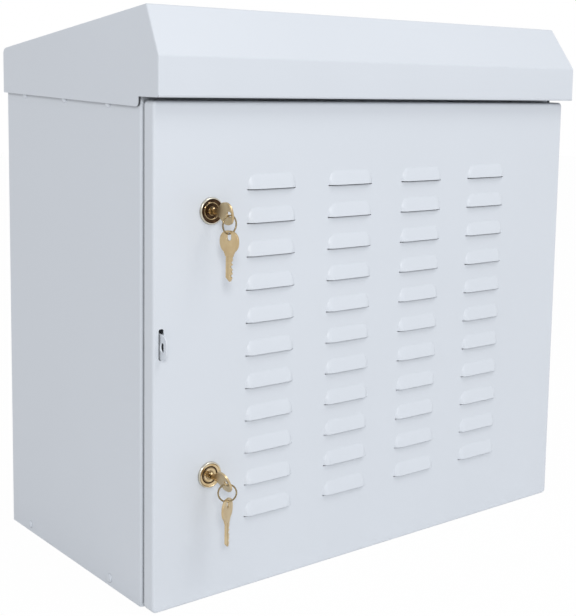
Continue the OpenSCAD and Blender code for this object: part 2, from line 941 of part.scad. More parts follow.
// Plug with its keyway, a retaining disc behind the housing and a square tail for the cam
module lock_plug(i) {
    face = -lock_flange_h + plug_sink;
    disc = housing_l + push_play;
    blade_end = key_y + blade_l + 2 * push_play;
    color(brass)
        difference() {
            union() {
                rotate([-90, 0, 0]) {
                    rod(plug_r, face, disc + push_play);
                    rod(blade_w / 2 + plug_collar, face - plug_collar, face + push_play);
                    rod(barrel_r - push_play, disc, cam_y - push_play);
                }
                translate([-tail_a / 2, cam_y - 2 * push_play, -tail_a / 2])
                    cube([tail_a, cam_t + push_play, tail_a]);
            }
            rotate([0, -key_turns[i], 0])
                translate([-key_t / 2 - push_play, face - plug_collar - cut, -blade_w / 2 - push_play])
                    cube([key_t + 2 * push_play, blade_end - face + plug_collar + cut,
                          blade_w + 2 * push_play]);
            rotate([-90, 0, 0])
                rod(cam_screw_r + push_play / 2, blade_end + plug_sink, cam_y + cam_t + cut);
        }
}

module lock_plug_lower() {
    at_lock(0)
        lock_plug(0);
}

module lock_plug_upper() {
    at_lock(1)
        lock_plug(1);
}

// Cam, hanging straight down: the lock is open
module lock_cam() {
    hole = tail_a + 2 * push_play;
    color(zinc)
        flat_in(cam_y, cam_t)
            difference() {
                union() {
                    circle(cam_w / 2 + margin);
                    translate([-cam_w / 2, -cam_l + cam_w / 4])
                        square([cam_w, cam_l - cam_w / 4]);
                    translate([-cam_w / 4, -cam_l])
                        square([cam_w / 2, cam_w]);
                    for (s = [-1, 1])
                        translate([s * cam_w / 4, -cam_l + cam_w / 4])
                            circle(cam_w / 4);
                }
                square(hole, center = true);
            }
}

module lock_cam_lower() {
    at_lock(0)
        lock_cam();
}

module lock_cam_upper() {
    at_lock(1)
        lock_cam();
}

module cam_screw() {
    seat = cam_y + cam_t + push_play;
    color(zinc)
        rotate([-90, 0, 0]) {
            rod(cam_screw_r, seat - 3 * cam_screw_r, seat + cam_screw_r / 2);
            rod(screw_share * tail_a, seat, seat + 1.5 * cam_screw_r);
        }
}

module cam_screw_lower() {
    at_lock(0)
        cam_screw();
}

module cam_screw_upper() {
    at_lock(1)
        cam_screw();
}

// Flat key: the blade runs down from y = 0 and the bow stands above it
module key_outline() {
    notch_places = [5, 9.5, 14, 18.5];
    notch_depths = [1.3, 2, 0.9, 1.6];
    notch_flat = 0.5;
    bow_side = bow_w / 2 - bow_r;
    neck_w = blade_w / 2 + shoulder;
    taper_r = bow_r - cut / 4;
    taper_x = bow_side + taper_r * cos(bow_taper);
    taper_y = bow_l - bow_r - taper_r * sin(bow_taper);
    difference() {
        union() {
            for (s = [-1, 1])
                translate([s * bow_side, bow_l - bow_r])
                    circle(bow_r);
            polygon([[-neck_w, -shoulder], [neck_w, -shoulder], [neck_w, 0], [taper_x, taper_y],
                     [-taper_x, taper_y], [-neck_w, 0]]);
            polygon([[-blade_w / 2, 0], [-blade_w / 2, -blade_l + blade_w / 2], [0, -blade_l],
                     [blade_w / 4, -blade_l], [blade_w / 2, -blade_l + blade_w / 2], [blade_w / 2, 0]]);
        }
        for (y = [hole_along - bow_slot, hole_along])
            translate([0, y])
                circle(bow_hole_r);
        translate([-bow_hole_r, hole_along - bow_slot])
            square([2 * bow_hole_r, bow_slot]);
        for (i = [0:len(notch_places) - 1])
            translate([blade_w / 2, -notch_places[i] - key_t])
                polygon([[cut, notch_depths[i] + cut], [-notch_depths[i], notch_flat],
                         [-notch_depths[i], -notch_flat], [cut, -notch_depths[i] - cut]]);
    }
}

// The outline as a solid key with a milled groove on both faces of the blade
module key_solid() {
    groove = blade_w / 4;
    difference() {
        linear_extrude(key_t, center = true)
            key_outline();
        for (s = [-1, 1])
            translate([-groove, -blade_l - cut, s * key_t / 2 - key_t / 6])
                cube([groove, blade_l, key_t / 3]);
    }
}

module lock_key(i) {
    color(brass)
        translate([0, key_y, 0])
            rotate([0, 90 - key_turns[i], 0])
                rotate([0, 0, 180])
                    key_solid();
}

module lock_key_lower() {
    at_lock(0)
        lock_key(0);
}

module lock_key_upper() {
    at_lock(1)
        lock_key(1);
}

// Place of a ring, with its origin where the wire hangs in the turned key's slot
module on_ring(i) {
    at_lock(i)
        translate([ring_sag * sin(key_turns[i]), ring_y, -ring_sag * cos(key_turns[i])])
            rotate([0, 0, ring_turns[i]])
                children();
}

// Wire ring through the slot of the key in the lock
module key_ring() {
    color(nickel)
        translate([0, 0, -ring_d / 2])
            turned_in()
                translate([ring_d / 2, 0])
                    circle(wire_r);
}

module key_ring_lower() {
    on_ring(0)
        key_ring();
}

module key_ring_upper() {
    on_ring(1)
        key_ring();
}

// Spare key, hanging on the ring
module spare_key(i) {
    color(brass)
        translate([0, 0, -ring_d - spare_sag])
            rotate([0, 0, spare_turns[i]])
                rotate([90, 0, 0])
                    translate([0, -hole_along, 0])
                        key_solid();
}

module spare_key_lower() {
    on_ring(0)
        spare_key(0);
}

module spare_key_upper() {
    on_ring(1)
        spare_key(1);
}

// Equipment rails

module rail() {
    path = [[-rail_out, rail_y + rail_leg], [-rail_out, rail_y], [-rail_out + rail_w, rail_y]];
    color(zinc)
        difference() {
            translate([0, 0, rail_foot])
                linear_extrude(rail_l)
                    polygon(folded(path, rail_t, bend_r));
            for (u = [0:rail_units - 1])
                for (h = unit_holes)
                    translate([-rail_pitch / 2, rail_y + rail_t / 2, rail_foot + rail_end + u * unit_h + h])
                        cube([cage_a, rail_t + 2 * cut, cage_a], center = true);
            rail_bolt_holes();
        }
}

module rail_bolt_places() {
    for (z = bracket_zs)
        translate([-rail_out, rail_bolt_y, z])
            rotate([0, 90, 0])
                children();
}

module rail_bolt_holes() {
    rail_bolt_places()
        rod(bolt_r + hole_play, -rail_t - cut, rail_t + cut);
}

module rail_left() {
    rail();
}

module rail_right() {
    mirror([1, 0, 0])
        rail();
}

// Folded brackets that carry the rails on the body's sides
module rail_brackets() {
    foot_x = -inner_w / 2 + rail_t;
    path = [[-rail_out, rail_y + rail_t], [-rail_out, bracket_y], [foot_x, bracket_y],
            [foot_x, bracket_y + bracket_foot]];
    color(zinc)
        for (m = [0, 1])
            mirror([m, 0, 0])
                difference() {
                    for (z = bracket_zs)
                        translate([0, 0, z - bracket_h / 2])
                            linear_extrude(bracket_h)
                                polygon(folded(path, rail_t, bend_r));
                    rail_bolt_holes();
                }
}

module rail_bolts() {
    color(zinc)
        for (m = [0, 1])
            mirror([m, 0, 0])
                rail_bolt_places() {
                    rod(bolt_r, -rail_t - 2 * bolt_r, rail_t + bolt_r / 2);
                    rod(2 * bolt_r, rail_t, rail_t + bolt_r);
                }
}

module rail_nuts() {
    color(zinc)
        for (m = [0, 1])
            mirror([m, 0, 0])
                rail_bolt_places()
                    difference() {
                        hex(10 / 3 * bolt_r, -rail_t - 5 / 3 * bolt_r, -rail_t);
                        rod(bolt_r + push_play / 2, -rail_t - 2 * bolt_r, 0);
                    }
}

// Cable entry

module entry_places() {
    for (i = [-1:1])
        translate([i * entry_pitch, gland_y, sheet])
            children();
}

module cable_plate() {
    color(paint)
        difference() {
            translate([-gland_l / 2, gland_y - gland_w / 2, sheet])
                cube([gland_l, gland_w, gland_t]);
            gland_screw_places()
                rod(bolt_r + hole_play, 0, sheet + gland_t + cut);
            entry_places()
                rod(entry_r + grommet_wall, -cut, gland_t + cut);
        }
}

module cable_plate_screws() {
    color(zinc)
        gland_screw_places() {
            rod(bolt_r, hole_play, sheet + gland_t + bolt_r / 2);
            rod(2 * bolt_r, sheet + gland_t, sheet + gland_t + bolt_r);
        }
}

module cable_grommets() {
    neck = entry_r + grommet_wall - push_play / 2;
    rim = entry_r + grommet_wall + grommet_rim;
    low = -sheet + push_play;
    high = gland_t + sheet;
    color(rubber)
        entry_places()
            rotate_extrude()
                polygon([[entry_r, low], [rim, low], [rim, 0], [neck, 0], [neck, gland_t], [rim, gland_t],
                         [rim, high], [entry_r, high]]);
}

// Earth terminal on the bottom panel

module earth_stud() {
    color(brass)
        translate([stud_x, stud_y, sheet]) {
            rod(2 * stud_r, 0, stud_r / 2);
            rod(stud_r, 0, stud_h);
        }
}

module earth_nut() {
    color(brass)
        translate([stud_x, stud_y, sheet])
            difference() {
                union() {
                    rod(2 * stud_r, stud_r / 2, stud_r);
                    hex(10 / 3 * stud_r, stud_r, 8 / 3 * stud_r);
                }
                rod(stud_r + push_play / 2, 0, 3 * stud_r);
            }
}

side_left();
side_right();
back_panel();
top_panel();
bottom_panel();
roof_cap();
roof_angles();
roof_screws();
roof_nuts();
body_rivets();
padlock_staple();
door_gasket();
hinge_arm_lower();
hinge_arm_upper();
rail_left();
rail_right();
rail_brackets();
rail_bolts();
rail_nuts();
cable_plate();
cable_plate_screws();
cable_grommets();
earth_stud();
earth_nut();
door_panel();
hinge_leaf_lower();
hinge_leaf_upper();
hinge_pin_lower();
hinge_pin_upper();
lock_housing_lower();
lock_housing_upper();
lock_nut_lower();
lock_nut_upper();
lock_plug_lower();
lock_plug_upper();
lock_cam_lower();
lock_cam_upper();
cam_screw_lower();
cam_screw_upper();
lock_key_lower();
lock_key_upper();
key_ring_lower();
key_ring_upper();
spare_key_lower();
spare_key_upper();
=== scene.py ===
"""Outdoor equipment cabinet: folded steel sheet, a pitched roof, a louvred door and cam locks with keys."""
import json
import math

import bmesh
import bpy
from mathutils import Matrix, Vector


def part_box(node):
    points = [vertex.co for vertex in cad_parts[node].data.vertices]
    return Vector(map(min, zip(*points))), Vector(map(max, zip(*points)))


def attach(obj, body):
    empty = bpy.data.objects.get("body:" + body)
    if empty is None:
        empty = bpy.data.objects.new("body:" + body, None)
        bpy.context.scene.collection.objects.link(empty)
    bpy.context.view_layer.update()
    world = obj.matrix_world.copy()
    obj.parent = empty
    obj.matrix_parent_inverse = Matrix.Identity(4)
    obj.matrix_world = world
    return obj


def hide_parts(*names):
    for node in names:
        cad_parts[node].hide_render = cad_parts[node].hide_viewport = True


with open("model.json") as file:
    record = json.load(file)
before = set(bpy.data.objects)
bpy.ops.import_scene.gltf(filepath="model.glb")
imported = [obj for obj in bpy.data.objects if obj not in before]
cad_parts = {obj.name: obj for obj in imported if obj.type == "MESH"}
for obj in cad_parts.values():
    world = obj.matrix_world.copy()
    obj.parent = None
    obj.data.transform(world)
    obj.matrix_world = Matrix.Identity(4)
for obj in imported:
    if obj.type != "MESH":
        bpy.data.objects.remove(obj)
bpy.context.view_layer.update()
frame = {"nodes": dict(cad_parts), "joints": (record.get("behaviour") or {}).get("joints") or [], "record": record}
nodes = frame["nodes"]
joints = {joint["name"]: Vector(joint["pos_m"]) for joint in frame["joints"]}

# Studio
# A white room: an even white surround, a large soft lamp high on the right, a smaller one on the left
# and a white floor.
# The camera stands on the left, a little above the middle of the cabinet, and looks down slightly.
MM = 0.001
IMAGE_W = 576
IMAGE_H = 616
FOCAL_PX = 1188.3
CENTRE_PX = (367.9, 226.5)
SENSOR = 36
CAMERA_PLACE = Vector((-889.2, -1182.8, 547.1)) * MM
YAW = math.radians(40.718)
PITCH = math.radians(7.173)
ROLL = math.radians(-1.383)
WHITE = "#ffffff"
FILL = "#f8faff"
FILL_STRENGTH = 0.57
LAMP_AIM = Vector((0, 0, 0.3))
HIGH_PLACE = Vector((0.9, -2.6, 4.6))
HIGH_SIZE = 2.0
HIGH_WATTS = 60
LEFT_PLACE = Vector((-2.4, -3.9, 2.4))
LEFT_SIZE = 1.0
LEFT_WATTS = 74
FLOOR_HALF = 6.0
FLOOR_GREY = "#f2f2f2"
GLOW_SHARE = 0.98


def linear(colour):
    """An sRGB hex colour as linear values with alpha."""
    parts = [int(colour[i:i + 2], 16) / 255 for i in (1, 3, 5)]
    return (*[c / 12.92 if c <= 0.04045 else ((c + 0.055) / 1.055) ** 2.4 for c in parts], 1.0)


def add(tree, kind, inputs=None, **settings):
    """Adds a node; each input is a value, or another node's output to link."""
    node = tree.nodes.new(kind)
    for name, value in settings.items():
        setattr(node, name, value)
    for name, value in (inputs or {}).items():
        if isinstance(value, bpy.types.NodeSocket):
            tree.links.new(value, node.inputs[name])
        else:
            node.inputs[name].default_value = value
    return node


def seen_directly(tree):
    """One where the camera, a reflection or a transmission sees the surface, else zero."""
    path = add(tree, "ShaderNodeLightPath")
    first = add(tree, "ShaderNodeMath", {0: path.outputs["Is Camera Ray"],
                                         1: path.outputs["Is Glossy Ray"]}, operation="MAXIMUM")
    return add(tree, "ShaderNodeMath", {0: first.outputs[0], 1: path.outputs["Is Transmission Ray"]},
               operation="MAXIMUM").outputs[0]


scene = bpy.context.scene
scene.view_settings.view_transform = "Standard"

forward = Vector((math.sin(YAW) * math.cos(PITCH), math.cos(YAW) * math.cos(PITCH), -math.sin(PITCH)))
level = Vector((math.cos(YAW), -math.sin(YAW), 0))
plumb = forward.cross(level)
right = math.cos(ROLL) * level + math.sin(ROLL) * plumb
down = math.cos(ROLL) * plumb - math.sin(ROLL) * level
camera = bpy.data.objects.new("camera", bpy.data.cameras.new("camera"))
scene.collection.objects.link(camera)
axes = (right, -down, -forward)
camera.matrix_world = Matrix([[*(axis[i] for axis in axes), CAMERA_PLACE[i]] for i in range(3)]
                             + [[0, 0, 0, 1]])
camera.data.sensor_fit = "VERTICAL"
camera.data.sensor_height = SENSOR
camera.data.lens = FOCAL_PX * SENSOR / IMAGE_H
camera.data.shift_x = (IMAGE_W / 2 - CENTRE_PX[0]) / IMAGE_H
camera.data.shift_y = (CENTRE_PX[1] - IMAGE_H / 2) / IMAGE_H
scene.camera = camera

world = bpy.data.worlds.new("white_surround")
scene.world = world
world.use_nodes = True
surround = world.node_tree
surround.nodes.clear()
fill = add(surround, "ShaderNodeBackground", {"Color": linear(FILL), "Strength": FILL_STRENGTH})
white = add(surround, "ShaderNodeBackground", {"Color": linear(WHITE), "Strength": 1.0})
room = add(surround, "ShaderNodeMixShader", {0: seen_directly(surround), 1: fill.outputs[0],
                                             2: white.outputs[0]})
add(surround, "ShaderNodeOutputWorld", {"Surface": room.outputs[0]})


def lamp(name, place, size, watts):
    """A square soft lamp at a place, turned to the middle of the cabinet."""
    piece = bpy.data.objects.new(name, bpy.data.lights.new(name, "AREA"))
    scene.collection.objects.link(piece)
    piece.data.size = size
    piece.data.energy = watts
    piece.location = place
    piece.rotation_euler = (LAMP_AIM - place).to_track_quat("-Z", "Y").to_euler()


lamp("high_lamp", HIGH_PLACE, HIGH_SIZE, HIGH_WATTS)
lamp("left_lamp", LEFT_PLACE, LEFT_SIZE, LEFT_WATTS)

floor_mesh = bmesh.new()
bmesh.ops.create_grid(floor_mesh, x_segments=1, y_segments=1, size=FLOOR_HALF)
floor_data = bpy.data.meshes.new("floor")
floor_mesh.to_mesh(floor_data)
floor_mesh.free()
floor = bpy.data.objects.new("floor", floor_data)
scene.collection.objects.link(floor)
floor_paint = bpy.data.materials.new("white_floor")
floor_paint.use_nodes = True
floor_tree = floor_paint.node_tree
floor_tree.nodes.clear()
matt = add(floor_tree, "ShaderNodeBsdfDiffuse", {"Color": linear(FLOOR_GREY)})
glow = add(floor_tree, "ShaderNodeEmission", {"Color": linear(WHITE), "Strength": 1.0})
share = add(floor_tree, "ShaderNodeMath", {0: seen_directly(floor_tree), 1: GLOW_SHARE},
            operation="MULTIPLY")
mixed = add(floor_tree, "ShaderNodeMixShader", {0: share.outputs[0], 1: matt.outputs[0],
                                                2: glow.outputs[0]})
add(floor_tree, "ShaderNodeOutputMaterial", {"Surface": mixed.outputs[0]})
floor_data.materials.append(floor_paint)

# Body sheets
# Sides, back, top and bottom are folded from steel sheet, riveted and welded, then powder coated light
# grey. The cable entry plate, held by screws over a hole in the bottom, has the same coat.
GREY = "#d8dde3"
GREY_DEEP = "#d3d8de"
COAT_CLOUD = 180 * MM
COAT_SMOOTH = 0.34
COAT_ROUGH = 0.44
COAT_PEEL = 1.6 * MM
PEEL_DEEP = 0.05 * MM
PEEL_STRENGTH = 0.12
# Near black painted shade for the seams and gaps
SEAM_SHADE = "#0e0f10"
SEAM = 8 * MM
# How open a seam is where the painted shade is darkest and where it ends, and how much of the coat's own tone
# shows there
SEAM_OPEN = (0.1, 0.7)
SEAM_UNSHADED = (0.2, 1.0)
AO_RAYS = 8
FOOT = 6 * MM
WELD = 0.002 * MM
FLAT_ANGLE = math.radians(0.5)
EASE_ANGLE = math.radians(35)
SHARP_ANGLE = math.radians(50)


def powder_coat():
    """Powder coated steel: satin, with a fine orange peel, and painted shade darkening the seams but not the foot.

    The peel is drawn coarser than the real one, so that it shows.
    """
    material = bpy.data.materials.new("powder_coated_steel")
    material.use_nodes = True
    tree = material.node_tree
    shader = tree.nodes["Principled BSDF"]
    place = add(tree, "ShaderNodeTexCoord").outputs["Object"]
    cloud = add(tree, "ShaderNodeTexNoise", {"Vector": place, "Scale": 1 / COAT_CLOUD, "Detail": 2.0})
    tone = add(tree, "ShaderNodeValToRGB", {"Fac": cloud.outputs["Fac"]})
    tone.color_ramp.elements[0].color = linear(GREY_DEEP)
    tone.color_ramp.elements[1].color = linear(GREY)
    # Painted shade: the coat darkens towards near black where ambient occlusion finds a seam or gap, but not at
    # the foot by the floor
    seam = add(tree, "ShaderNodeAmbientOcclusion", {"Distance": SEAM}, samples=AO_RAYS)
    seam_lit = add(tree, "ShaderNodeMapRange", {
        "Value": seam.outputs["AO"], "From Min": SEAM_OPEN[0], "From Max": SEAM_OPEN[1],
        "To Min": SEAM_UNSHADED[0], "To Max": SEAM_UNSHADED[1]})
    height = add(tree, "ShaderNodeSeparateXYZ", {"Vector": place}).outputs["Z"]
    foot = add(tree, "ShaderNodeMapRange", {"Value": height, "From Min": FOOT / 2, "From Max": FOOT,
                                            "To Min": 1.0, "To Max": 0.0})
    unshaded = add(tree, "ShaderNodeMath", {0: seam_lit.outputs[0], 1: foot.outputs[0]}, operation="MAXIMUM")
    shaded_tone = add(tree, "ShaderNodeMix", {0: unshaded.outputs[0], 6: linear(SEAM_SHADE), 7: tone.outputs[0]},
                data_type="RGBA")
    tree.links.new(shaded_tone.outputs[2], shader.inputs["Base Color"])
    gloss = add(tree, "ShaderNodeMapRange", {"Value": cloud.outputs["Fac"], "To Min": COAT_SMOOTH,
                                             "To Max": COAT_ROUGH})
    tree.links.new(gloss.outputs[0], shader.inputs["Roughness"])
    peel = add(tree, "ShaderNodeTexNoise", {"Vector": place, "Scale": 1 / COAT_PEEL, "Detail": 1.0})
    bump = add(tree, "ShaderNodeBump", {"Height": peel.outputs["Fac"], "Strength": PEEL_STRENGTH,
                                        "Distance": PEEL_DEEP})
    tree.links.new(bump.outputs[0], shader.inputs["Normal"])
    return material


coat = powder_coat()


def finish(mesh, name, material, body, slot, *replaced):
    """Makes a finished mesh a piece that rides on a body and stands for the named nodes."""
    piece = bpy.data.objects.new(name, mesh)
    scene.collection.objects.link(piece)
    mesh.materials.clear()
    mesh.materials.append(material)
    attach(piece, body)
    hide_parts(*replaced)
    return piece


def eased(piece, edge=0, segments=2):
    """Rounds a piece's sharp edges by the size edge, if one is given, and shades its flats flat."""
    if edge:
        bevel = piece.modifiers.new("eased_edges", "BEVEL")
        bevel.width = edge
        bevel.segments = segments
        bevel.limit_method = "ANGLE"
        bevel.angle_limit = EASE_ANGLE
    piece.data.shade_smooth()
    piece.data.set_sharp_from_angle(angle=SHARP_ANGLE)
    piece.modifiers.new("flat_faces", "WEIGHTED_NORMAL").keep_sharp = True


def node_mesh(name):
    """A merged copy of a node's mesh with its flat faces made whole."""
    form = bmesh.new()
    form.from_mesh(nodes[name].data)
    bmesh.ops.remove_doubles(form, verts=form.verts, dist=WELD)
    bmesh.ops.dissolve_limit(form, angle_limit=FLAT_ANGLE, verts=form.verts, edges=form.edges)
    mesh = bpy.data.meshes.new(name + "_sheet")
    form.to_mesh(mesh)
    form.free()
    return mesh


for name in ("side_left", "side_right", "back_panel", "top_panel", "bottom_panel", "cable_plate"):
    eased(finish(node_mesh(name), name + "_sheet", coat, "cabinet", "paint", name))

# Padlock lug
# A steel tongue welded inside the body, which comes out through a slot in the door and takes a padlock
# in its eye. It is thinner outside the door, with a tall eye, and has the body's coat.
LUG_T_SHARE = 0.6
LUG_ROOT_Y = -160 * MM
LUG_EDGE = 0.4 * MM
EYE_STRETCH = 1.15
EYE_PLAY = 0.1 * MM
eye = next(mount for mount in frame["record"]["mounts"] if mount["name"] == "padlock_eye")
eye_place = Vector(eye["pos_m"])
eye_r = eye["dims"]["r_mm"] * MM + EYE_PLAY
lug = node_mesh("padlock_staple")
lug_left = min(v.co.x for v in lug.vertices if v.co.y < LUG_ROOT_Y)
for v in lug.vertices:
    if v.co.y < LUG_ROOT_Y:
        v.co.x = lug_left + LUG_T_SHARE * (v.co.x - lug_left)
        if (v.co.yz - eye_place.yz).length < eye_r:
            v.co.z = eye_place.z + EYE_STRETCH * (v.co.z - eye_place.z)
eased(finish(lug, "padlock_lug", coat, "cabinet", "paint", "padlock_staple"), LUG_EDGE, 3)

# Roof cap
# One sheet folded to a fascia, a slope and a long fall to the rear, with gable ends welded on and ground
# smooth, in the body's coat. The gables lean in a little at the ridge, the rear fold is rounder than the
# others, and a lip is turned in under the fascia.
SHEET = 1.5 * MM
FASCIA_H = 40 * MM
FASCIA_GAP = 3 * MM
FASCIA_LIP = 10 * MM
SLOPE_D = 33.5 * MM
BACK_H = 54 * MM
SKIRT_RISE = 6 * MM
NOTCH_R = 5 * MM
REAR_FOLD = 7 * MM
REAR_IN = 2 * MM
SIDE_IN = 1.2 * MM
FOLD = 1.5 * MM
FOLD_ANGLE = math.radians(30)
LEAN = 6 * MM
LIP_R = 2.2 * MM
LIP_PLAY = 0.3 * MM
roof_low, roof_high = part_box("roof_cap")
door_low, door_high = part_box("door_panel")
side_low, side_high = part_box("side_left")
fascia_low = door_high.z + FASCIA_GAP
fascia_y = roof_low.y
rear_face = roof_high.y - REAR_IN
bend = [math.radians(15 * i) for i in range(7)]
notch = [(side_low.y + NOTCH_R - NOTCH_R * math.sin(a), roof_low.z + NOTCH_R - NOTCH_R * math.cos(a))
         for a in bend]
ridge = Vector((fascia_y + SLOPE_D, roof_high.z))
corner = Vector((rear_face, roof_low.z + SKIRT_RISE / 2 + BACK_H))
fall = corner + REAR_FOLD * (ridge - corner).normalized()
drop = corner - Vector((0, REAR_FOLD))
rear_arc = [(1 - s) ** 2 * drop + 2 * s * (1 - s) * corner + s * s * fall for s in (0, 0.25, 0.5, 0.75, 1)]
top_line = [(rear_face, roof_low.z + SKIRT_RISE), *rear_arc, ridge, (fascia_y, fascia_low + FASCIA_H),
            (fascia_y, fascia_low + LIP_R)]
at_ridge = 1 + len(rear_arc)
lip_line = [(fascia_y + LIP_R * (1 - math.cos(a)), fascia_low + LIP_R * (1 - math.sin(a))) for a in bend]
gable_line = top_line + [lip_line[-1], (side_low.y, fascia_low)] + notch[::-1]
lip_line += [(fascia_y + FASCIA_LIP, fascia_low)]
half_roof = (roof_high.x - roof_low.x) / 2 - SIDE_IN
form = bmesh.new()
ends = []
for side in (-1, 1):
    ends.append([form.verts.new((side * half_roof, y, z)) for y, z in gable_line])
    ends[-1][at_ridge].co.x -= side * LEAN
    form.faces.new(ends[-1][at_ridge - 1:at_ridge + 2])
    form.faces.new(ends[-1][:at_ridge] + ends[-1][at_ridge + 1:])
for i in range(len(top_line) - 1):
    form.faces.new((ends[0][i], ends[0][i + 1], ends[1][i + 1], ends[1][i]))
rows = [[form.verts.new((x, y, z)) for y, z in lip_line]
        for x in (LIP_PLAY - half_roof, half_roof - LIP_PLAY)]
for i in range(len(lip_line) - 1):
    form.faces.new((rows[0][i], rows[0][i + 1], rows[1][i + 1], rows[1][i]))
bmesh.ops.recalc_face_normals(form, faces=form.faces)
for face in form.faces:
    if face.verts[0] in rows[0] and face.normal.y + face.normal.z > 0:
        face.normal_flip()
roof_mesh = bpy.data.meshes.new("roof_shell")
form.to_mesh(roof_mesh)
form.free()
roof = finish(roof_mesh, "roof_shell", coat, "cabinet", "paint", "roof_cap")
fold = roof.modifiers.new("folds", "BEVEL")
fold.width = FOLD
fold.segments = 3
fold.limit_method = "ANGLE"
fold.angle_limit = FOLD_ANGLE
fold.use_clamp_overlap = False
wall = roof.modifiers.new("sheet", "SOLIDIFY")
wall.thickness = SHEET
wall.offset = -1
eased(roof)

# Dome rivets
# Steel rivets with low dome heads hold the sides and the back to the top and bottom panels.
# They are coated with the body. The upper ones on the sides follow the roof's skirt.
HEAD_R = 4.6 * MM
HEAD_H = 2.2 * MM
RIVET_LOW = 9 * MM
RIVET_HIGH = 516 * MM
RIVET_MID = 8 * MM
RIVET_PITCH = 97 * MM
BACK_PITCH = 150 * MM
back_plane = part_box("back_panel")[1].y
body_deep = side_high.y - side_low.y


def new_rule(name, sizes):
    """A geometry tree with a geometry input and named inputs for its sizes."""
    tree = bpy.data.node_groups.new(name, "GeometryNodeTree")
    tree.interface.new_socket("Geometry", in_out="INPUT", socket_type="NodeSocketGeometry")
    tree.interface.new_socket("Geometry", in_out="OUTPUT", socket_type="NodeSocketGeometry")
    for size, kind in sizes.items():
        tree.interface.new_socket(size, in_out="INPUT", socket_type=kind)
    return tree, add(tree, "NodeGroupInput").outputs


def grown(tree, mesh, values):
    """The plain mesh that a geometry tree makes from a mesh and its sizes."""
    carrier = bpy.data.objects.new("carrier", mesh)
    scene.collection.objects.link(carrier)
    rule = carrier.modifiers.new("rule", "NODES")
    rule.node_group = tree
    for item in tree.interface.items_tree:
        if item.in_out == "INPUT" and item.name in values:
            rule[item.identifier] = values[item.name]
    view = bpy.context.evaluated_depsgraph_get()
    result = bpy.data.meshes.new_from_object(carrier.evaluated_get(view), depsgraph=view)
    carrier.modifiers.remove(rule)
    bpy.data.objects.remove(carrier)
    return result


places = []
for side in (-1, 1):
    for z, slope, steps in ((RIVET_LOW, 0, (-1, 1)), (RIVET_HIGH, SKIRT_RISE / body_deep, (-1, 0, 1))):
        for y in (RIVET_MID + i * RIVET_PITCH for i in steps):
            places.append(((side * door_high.x, y, z + slope * y), (side, 0, 0)))
for z in (RIVET_LOW, RIVET_HIGH):
    places += [((i * BACK_PITCH, back_plane, z), (0, 1, 0)) for i in (-1, 0, 1)]
points = bpy.data.meshes.new("rivet_places")
points.from_pydata([place for place, way in places], [], [])
ways = points.attributes.new("way", "FLOAT_VECTOR", "POINT")
for i, (place, way) in enumerate(places):
    ways.data[i].vector = way
tree, sizes = new_rule("rivets", {"Head radius": "NodeSocketFloat", "Head height": "NodeSocketFloat"})
ball = add(tree, "GeometryNodeMeshUVSphere", {"Segments": 32, "Rings": 16, "Radius": 1.0})
stretch = add(tree, "ShaderNodeCombineXYZ", {"X": sizes["Head radius"], "Y": sizes["Head radius"],
                                             "Z": sizes["Head height"]})
dome = add(tree, "GeometryNodeTransform", {"Geometry": ball.outputs["Mesh"], "Scale": stretch.outputs[0]})
way = add(tree, "GeometryNodeInputNamedAttribute", {"Name": "way"}, data_type="FLOAT_VECTOR")
turn = add(tree, "FunctionNodeAlignRotationToVector", {"Vector": way.outputs[0]}, axis="Z")
heads = add(tree, "GeometryNodeInstanceOnPoints", {
    "Points": sizes["Geometry"], "Instance": dome.outputs[0], "Rotation": turn.outputs[0]})
solid = add(tree, "GeometryNodeRealizeInstances", {"Geometry": heads.outputs[0]})
smooth = add(tree, "GeometryNodeSetShadeSmooth", {"Geometry": solid.outputs[0]})
dressed = add(tree, "GeometryNodeSetMaterial", {"Geometry": smooth.outputs[0], "Material": coat})
add(tree, "NodeGroupOutput", {"Geometry": dressed.outputs[0]})
rivet_mesh = grown(tree, points, {"Head radius": HEAD_R, "Head height": HEAD_H})
finish(rivet_mesh, "rivet_heads", coat, "cabinet", "paint", "body_rivets")

# Plated steel inside
# Rails, brackets, roof angles, hinge arms, screws and nuts are steel with a bright zinc plate.
# The plate has a faint cloudy spangle and a soft sheen.
ZINC = "#b4b8bd"
ZINC_DEEP = "#a3a8ae"
ZINC_SPANGLE = 6 * MM
CLOUD_SPREAD = (0.35, 0.65)
# Dark brown painted shade for a metal's recesses
RECESS_SHADE = "#2a1c10"
# How open a recess is where the painted shade is darkest and where it ends, and how bright the metal is there
RECESS_OPEN = (0.35, 0.95)
RECESS_BRIGHT = (0.25, 1.0)


